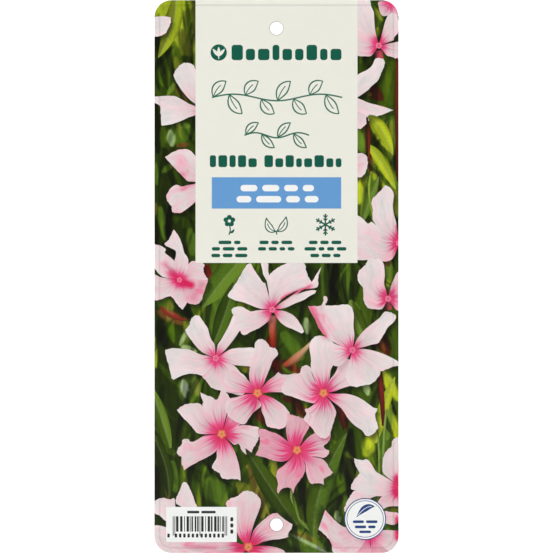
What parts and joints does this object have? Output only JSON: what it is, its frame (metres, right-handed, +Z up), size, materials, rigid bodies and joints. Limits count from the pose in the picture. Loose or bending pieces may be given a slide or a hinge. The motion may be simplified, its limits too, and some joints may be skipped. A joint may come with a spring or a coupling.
{
  "type": "printed plant label",
  "caption": "Tall hanging plant label: a rounded plastic card punched near each end, with a floral print and a pale text panel.",
  "frame": {"origin": "centre of the upper punched hole, half-way through the card, which hangs from that hole", "axes": "+Z up along the card's height, -Y out of the printed front, +X to the right of a person looking at the front"},
  "size_m": [0.099, 0.0006, 0.224],
  "materials": {
    "card": "satin polypropylene sheet, die cut",
    "picture": "offset-printed flower picture under a clear varnish",
    "panel": "pale grey-green print under a clear varnish",
    "dark_green_ink": "solid dark green print",
    "blue_ink": "solid light blue print",
    "white_ink": "opaque white print"
  },
  "bodies": {
    "root": {"card_sheet": "card", "picture_print": "picture", "info_panel": "panel", "heading_emblem": "dark_green_ink", "heading_bar": "dark_green_ink", "name_bar_1": "dark_green_ink", "name_bar_2": "dark_green_ink", "message_band": "blue_ink", "barcode_patch": "white_ink", "badge_disc": "white_ink"}
  },
  "joints": []
}
